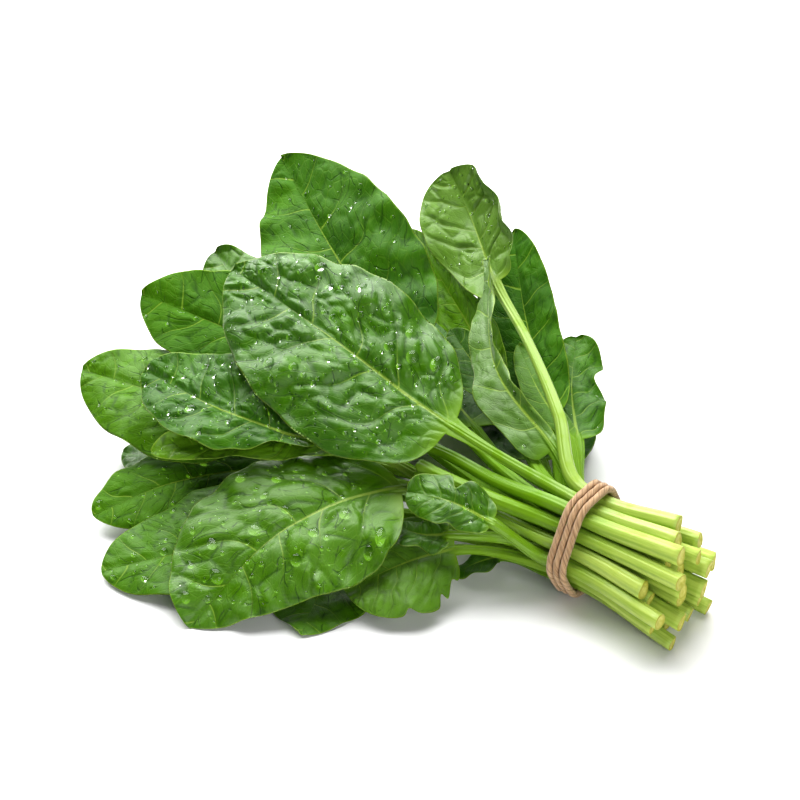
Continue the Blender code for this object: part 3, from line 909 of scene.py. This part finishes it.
# %% Streaks
SQUEEZE = (0.035, 1, 1)     # fibres are this much longer than wide
streaks, given, result = group(
    "Streaks", [("Along", "Vector"), ("Width", "Float")], [("Mask", "Float")])
fine = math(streaks, "DIVIDE", 1.0, given["Width"])
squeezed = node(streaks, "ShaderNodeVectorMath", {0: given["Along"], 1: SQUEEZE}, operation="MULTIPLY")
noise = node(streaks, "ShaderNodeTexNoise",
             {"Vector": squeezed.outputs[0], "Scale": fine, "Detail": 4.0, "Roughness": 0.6})
streaks.links.new(noise.outputs["Fac"], result["Mask"])
print("groups", mottle.name, streaks.name)

# %% [markdown]
# ## Veins and creases
#
# Fine veins split a blade into small uneven cells, and between the side veins the swollen tissue
# folds into short creases, which lie in shade. Both are far finer than the mesh, so they are drawn
# by the material: the creases as a bump and as painted shade. A Voronoi pattern has the right
# walls, but in space it would cut through the blade at a slant. So it is laid on the blade itself:
# the vein count gives the way along and the distance from the rib the way across. For the creases
# it is bent by a slow noise and broken up by another.

# %% Vein net
VEIN_PITCH = 22.0     # millimetres from one side vein to the next, on a middling leaf
FINE_CELLS = (5.0, 2.1)
CREASE_CELLS = 9
CREASE_BEND = (14, 14, 0)   # millimetres by which a crease strays


def cell_walls(tree, way, size, uneven, thickness):
    """1 along the walls between cells of about this size."""
    net = node(tree, "ShaderNodeTexVoronoi", {"Vector": way, "Scale": 1 / size, "Randomness": uneven},
               feature="DISTANCE_TO_EDGE", voronoi_dimensions="2D")
    return fall(tree, net.outputs["Distance"], 0.0, thickness)


vein_net, given, result = group(
    "Vein net", [("Vein count", "Float"), ("Off rib", "Float"), ("Rib", "Float")],
    [("Midrib", "Float"), ("Side veins", "Float"), ("Fine veins", "Float"), ("Creases", "Float")])
near = math(vein_net, "MULTIPLY", math(vein_net, "PINGPONG", given["Vein count"], 0.5), VEIN_PITCH)
wide = math(vein_net, "MAXIMUM", math(vein_net, "MULTIPLY_ADD", given["Off rib"], -0.016, 0.62), 0.15)
side_vein = fall(vein_net, near, math(vein_net, "MULTIPLY", wide, 0.3), wide)
vein_net.links.new(side_vein, result["Side veins"])
vein_net.links.new(fall(vein_net, given["Rib"], 0.2, 0.6), result["Midrib"])
print("side veins about", VEIN_PITCH, "mm apart")

# %% Fine veins and creases
along_blade = math(vein_net, "MULTIPLY", given["Vein count"], VEIN_PITCH)
flat = node(vein_net, "ShaderNodeCombineXYZ", {0: along_blade, 1: given["Off rib"]}).outputs[0]
coarse, small = (cell_walls(vein_net, flat, size, 0.9, 0.09) for size in FINE_CELLS)
fine_vein = math(vein_net, "MAXIMUM", coarse, math(vein_net, "MULTIPLY", small, 0.5))
vein_net.links.new(fine_vein, result["Fine veins"])

swirl = node(vein_net, "ShaderNodeTexNoise", {"Vector": flat, "Scale": 0.09, "Detail": 0.5})
bend = node(vein_net, "ShaderNodeVectorMath", {0: swirl.outputs["Color"], 1: CREASE_BEND},
            operation="MULTIPLY")
bent = node(vein_net, "ShaderNodeVectorMath", {0: flat, 1: bend.outputs[0]}, operation="ADD")
bent = bent.outputs[0]
folds = cell_walls(vein_net, bent, CREASE_CELLS, 1.0, 0.05)
gaps = node(vein_net, "ShaderNodeTexNoise", {"Vector": bent, "Scale": 0.16, "Detail": 1.0})
kept = step(vein_net, gaps.outputs["Fac"], 0.45, 0.6)
vein_net.links.new(math(vein_net, "MULTIPLY", folds, kept), result["Creases"])
print("vein net with", len(vein_net.nodes), "nodes")

# %% [markdown]
# ## The greens of a blade
#
# One skin needs one material that knows where it is, so that stem and blade run into each other
# without a seam. The marks on the mesh say how far a point is blade or stem, how near the margin,
# and which side vein it is near. The colour is then laid on as a painter would: deep green,
# lighter patches, the tone of this leaf, painted shade in the creases and over leaves inside the
# pile, the dull underside, and the pale veins and margin last.

# %% Blade colour
DEEP_GREEN = (0.014, 0.08, 0.0005, 1)
LEAF_GREEN = (0.06, 0.19, 0.001, 1)
YOUNG_GREEN = (0.13, 0.3, 0.0005, 1)
VEIN_GREEN = (0.36, 0.52, 0.06, 1)
UNDER_GREEN = (0.17, 0.29, 0.06, 1)
# the dark green of the painted shade in creases and inside the pile
PAINTED_CREASE_SHADE = (0.006, 0.04, 0.0003, 1)

spinach, tree = material("spinach_skin")
blade, under, cut = mark(tree, "blade"), mark(tree, "under"), mark(tree, "cut")
tone, gloss, off_rib = mark(tree, "tone"), mark(tree, "gloss"), mark(tree, "off_rib")
veins = use(tree, vein_net, {"Vein count": mark(tree, "vein_count"), "Off rib": off_rib,
                             "Rib": mark(tree, "rib")})
creases = math(tree, "MULTIPLY", veins["Creases"], math(tree, "SUBTRACT", 1.0, under))
patches = use(tree, mottle, {"Size": 0.022, "Contrast": 1.6})["Mask"]
green = blend(tree, patches, DEEP_GREEN, LEAF_GREEN)
green = blend(tree, tone, green, YOUNG_GREEN)
green = tint(tree, green, veins["Fine veins"], 0.06, VEIN_GREEN)
# painted shade: darker green where the creases lie and over leaves inside the pile, then along the
# vein net's creases
green = tint(tree, green, mark(tree, "painted_shade"), 0.6, PAINTED_CREASE_SHADE)
green = tint(tree, green, creases, 0.6, PAINTED_CREASE_SHADE)
green = tint(tree, green, under, 0.75, UNDER_GREEN)
fading = math(tree, "MULTIPLY_ADD", step(tree, off_rib, 22.0, 4.0), 0.32, 0.08)
green = tint(tree, green, veins["Side veins"], fading, VEIN_GREEN)
green = tint(tree, green, veins["Midrib"], 0.7, VEIN_GREEN)
green = tint(tree, green, fall(tree, mark(tree, "margin"), 0.15, 0.7), 0.45, VEIN_GREEN)
print("blade colour made of", len(tree.nodes), "nodes")

# %% [markdown]
# ## Stems and cut ends
#
# Where no light reaches it, a stem is nearly white, so it pales from the blade towards the cut.
# Fibres run along it. The cut itself is wet pith inside a darker rim.

# %% Stem colour
STEM_GREEN = (0.15, 0.31, 0.004, 1)
STEM_PALE = (0.56, 0.68, 0.15, 1)
CUT_PALE = (0.7, 0.66, 0.2, 1)
CUT_DAMP = (0.44, 0.42, 0.06, 1)
CUT_RIM = (0.42, 0.4, 0.06, 1)

grain = mark(tree, "grain", "Vector")
fibres = use(tree, streaks, {"Along": grain, "Width": 1.3})["Mask"]
along = node(tree, "ShaderNodeSeparateXYZ", {0: grain}).outputs[0]
stem = blend(tree, step(tree, along, 5.0, 75.0), STEM_PALE, STEM_GREEN)
stem = tint(tree, stem, step(tree, fibres, 0.42, 0.72), 0.5, STEM_GREEN)
stem = tint(tree, stem, tone, 0.35, STEM_PALE)
stem = tint(tree, stem, patches, 0.3, STEM_GREEN)
pith = use(tree, mottle, {"Size": 0.0022, "Contrast": 2.2})["Mask"]
sawn = blend(tree, pith, CUT_PALE, CUT_DAMP)
sawn = blend(tree, step(tree, mark(tree, "cut_rim"), 0.55, 0.9), sawn, CUT_RIM)
colour = blend(tree, step(tree, blade, 0.0, 0.8), stem, green)
colour = blend(tree, cut, colour, sawn)
print("with the stem", len(tree.nodes), "nodes")

# %% [markdown]
# ## Shine and light
#
# A spinach leaf has a waxy skin, with a film of water on it in places: that is a coat over a
# duller base, and its weight changes from patch to patch. Veins and creases are pressed in by a
# bump, and the fibres of a stem stand out. A blade also lets some light through, so the Principled
# surface is mixed with a Translucent one in a yellower green.

# %% Roughness, coat and relief
RELIEF = 0.25 * MM
JUTE_RELIEF = 0.4 * MM

film = step(tree, use(tree, mottle, {"Size": 0.009, "Contrast": 2.0})["Mask"], 0.55, 0.8)
dull = math(tree, "MULTIPLY_ADD", under, 0.15, 0.65)
rough = math(tree, "MULTIPLY_ADD", gloss, -0.25, dull)
shine = math(tree, "MULTIPLY", gloss, math(tree, "MULTIPLY_ADD", film, -0.75, 1.0))
shine = math(tree, "MULTIPLY", shine, math(tree, "SUBTRACT", 1.0, cut))
height = math(tree, "MULTIPLY", veins["Side veins"], -1.0)
height = math(tree, "MULTIPLY_ADD", veins["Fine veins"], -0.6, height)
height = math(tree, "MULTIPLY_ADD", creases, -1.8, height)
height = math(tree, "MULTIPLY", height, blade)
height = math(tree, "MULTIPLY_ADD", fibres, 0.9, height)
bump = node(tree, "ShaderNodeBump", {"Height": height, "Strength": 0.7, "Distance": RELIEF})
print("fine relief", RELIEF / MM, "mm deep")

# %% Surface of leaf and stem
LIT_THROUGH = (0.3, 0.6, 0.002, 1)
LET_THROUGH = 0.12

surface = node(tree, "ShaderNodeBsdfPrincipled",
               {"Base Color": colour, "Roughness": rough, "Normal": bump.outputs[0],
                "Specular Tint": (0.6, 1, 0.35, 1), "Specular IOR Level": 0.3,
                "Coat Weight": shine, "Coat Roughness": 0.42, "Coat IOR": 1.45})
through = node(tree, "ShaderNodeBsdfTranslucent",
               {"Color": blend(tree, 0.6, colour, LIT_THROUGH), "Normal": bump.outputs[0]})
mixed = node(tree, "ShaderNodeMixShader",
             {0: LET_THROUGH, 1: surface.outputs[0], 2: through.outputs[0]})
node(tree, "ShaderNodeOutputMaterial", {"Surface": mixed.outputs[0]})
print("spinach_skin has", len(tree.nodes), "nodes")

# %% [markdown]
# ## Jute
#
# Jute is a dull plant fibre, spun from strands of several tans. The streaks run along the yarns,
# because the cord's `grain` turns with them, and the grooves between the yarns get painted shade.

# %% Twine material
JUTE_BROWN = (0.31, 0.18, 0.085, 1)
JUTE_TAN = (0.45, 0.28, 0.145, 1)
JUTE_PALE = (0.56, 0.38, 0.22, 1)
JUTE_DARK = (0.16, 0.08, 0.035, 1)
JUTE_GROOVE_SHADE = (0.07, 0.035, 0.015, 1)

jute, tree = material("jute_cord")
fibres = use(tree, streaks, {"Along": mark(tree, "grain", "Vector"), "Width": 0.35})["Mask"]
patches = use(tree, mottle, {"Size": 0.006, "Contrast": 1.5})["Mask"]
tan = blend(tree, patches, JUTE_BROWN, JUTE_TAN)
tan = blend(tree, step(tree, fibres, 0.4, 0.62), tan, JUTE_PALE)
tan = blend(tree, step(tree, fibres, 0.42, 0.3), tan, JUTE_DARK)
# painted shade in the grooves between the yarns
tan = tint(tree, tan, mark(tree, "groove"), 0.45, JUTE_GROOVE_SHADE)
bump = node(tree, "ShaderNodeBump", {"Height": fibres, "Strength": 1.0, "Distance": JUTE_RELIEF})
surface = node(tree, "ShaderNodeBsdfPrincipled",
               {"Base Color": tan, "Roughness": 0.85, "Normal": bump.outputs[0], "Sheen Weight": 0.2})
node(tree, "ShaderNodeOutputMaterial", {"Surface": surface.outputs[0]})
print("jute_cord has", len(tree.nodes), "nodes")

# %% [markdown]
# ## Water
#
# A drop is a small lens: it looks dark on the side that faces the lamp and gathers the light on
# the leaf behind its far side. Tracing that light needs very many samples. Here the glass is
# clear, and the mark `far_side` paints shade on the lamp's side and a faint green glow, painted
# light, on the other.

# %% Water material
DROP_SHADE = (0.2, 0.3, 0.15, 1)
DROP_GLOW = (0.09, 0.2, 0.01, 1)

water, tree = material("water")
gathered = mark(tree, "far_side")
# painted shade on a drop's side towards the lamp, and painted light glowing on its far side
clear = blend(tree, step(tree, gathered, -0.9, 0.1), DROP_SHADE, (1, 1, 1, 1))
glow = blend(tree, step(tree, gathered, 0.1, 0.85), (0, 0, 0, 1), DROP_GLOW)
surface = node(tree, "ShaderNodeBsdfPrincipled",
               {"Base Color": clear, "Roughness": 0.0, "IOR": 1.333, "Transmission Weight": 1.0,
                "Emission Color": glow, "Emission Strength": 1.0})
node(tree, "ShaderNodeOutputMaterial", {"Surface": surface.outputs[0]})
print("water has", len(tree.nodes), "nodes")

# %% [markdown]
# ## Putting it together
#
# Every skin takes the place of its solid, which stays in the simulation, and rides on the one
# body of the bunch. The drops ride too.

# %% Ride, replace and finish
skins = {name: skin["piece"] for name, skin in leaves.items()}
skins["broken_stem"] = stub
for name, piece in skins.items():
    piece.data.materials.append(spinach)
    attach(piece, "root")
    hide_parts(name)
cord.data.materials.append(jute)
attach(cord, "root")
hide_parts("twine_tie")
for piece in wet:
    piece.data.materials.append(water)
    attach(piece, "root")
print(len(skins) + 1 + len(wet), "pieces")

# %% [markdown]
# ## Floor, light and camera
#
# The bunch lies on a pale floor in soft light, as in a shop's catalogue. A large soft light
# stands high behind it, so the wet leaves shine, and a weaker one fills the near side.

# %% Floor
bpy.ops.object.select_all(action="DESELECT")
bpy.ops.mesh.primitive_plane_add(size=8)
floor = bpy.context.active_object
floor.name = "floor"
pale, tree = material("pale_floor")
surface = node(tree, "ShaderNodeBsdfPrincipled",
               {"Base Color": (0.88, 0.88, 0.88, 1), "Roughness": 0.9, "Specular IOR Level": 0.1})
node(tree, "ShaderNodeOutputMaterial", {"Surface": surface.outputs[0]})
floor.data.materials.append(pale)
print("floor", floor.dimensions[0], "m wide")

world = bpy.data.worlds.new("studio")
world.use_nodes = True
world.node_tree.nodes["Background"].inputs["Color"].default_value = (1, 1, 1, 1)
world.node_tree.nodes["Background"].inputs["Strength"].default_value = 0.08
bpy.context.scene.world = world

# %% Lights
def soft_light(name, place, aim, size, power):
    """A square lamp of this size in metres and power in watts, turned to what it lights."""
    bpy.ops.object.select_all(action="DESELECT")
    bpy.ops.object.light_add(type="AREA", location=place)
    light = bpy.context.active_object
    light.name = name
    light.data.size = size
    light.data.energy = power
    light.rotation_euler = (Vector(aim) - Vector(place)).to_track_quat("-Z", "Y").to_euler()
    print(name, "light", size, "m wide,", power, "W")


soft_light("key", (-0.55, 0.45, 1.0), (-0.02, 0, 0.05), 1.7, 51)
soft_light("fill", (1.1, -0.6, 0.5), (0, 0, 0.05), 1.0, 9)

# %% Camera
# both in metres from the middle of the tie
VIEW_TARGET = Vector((-0.08612, -0.02341, 0.04938))
VIEW_PLACE = Vector((0.33302, -0.55989, 0.52608))
bpy.ops.object.camera_add()
camera = bpy.context.active_object
camera.location = Vector(TIE) + VIEW_PLACE
camera.rotation_euler = (VIEW_TARGET - VIEW_PLACE).to_track_quat("-Z", "Y").to_euler()
camera.data.lens = 85
print("camera", round((VIEW_TARGET - VIEW_PLACE).length, 3), "m from its target")
bpy.context.scene.camera = camera
bpy.context.scene.view_settings.view_transform = "Standard"
bpy.context.scene.view_settings.look = "Medium High Contrast"
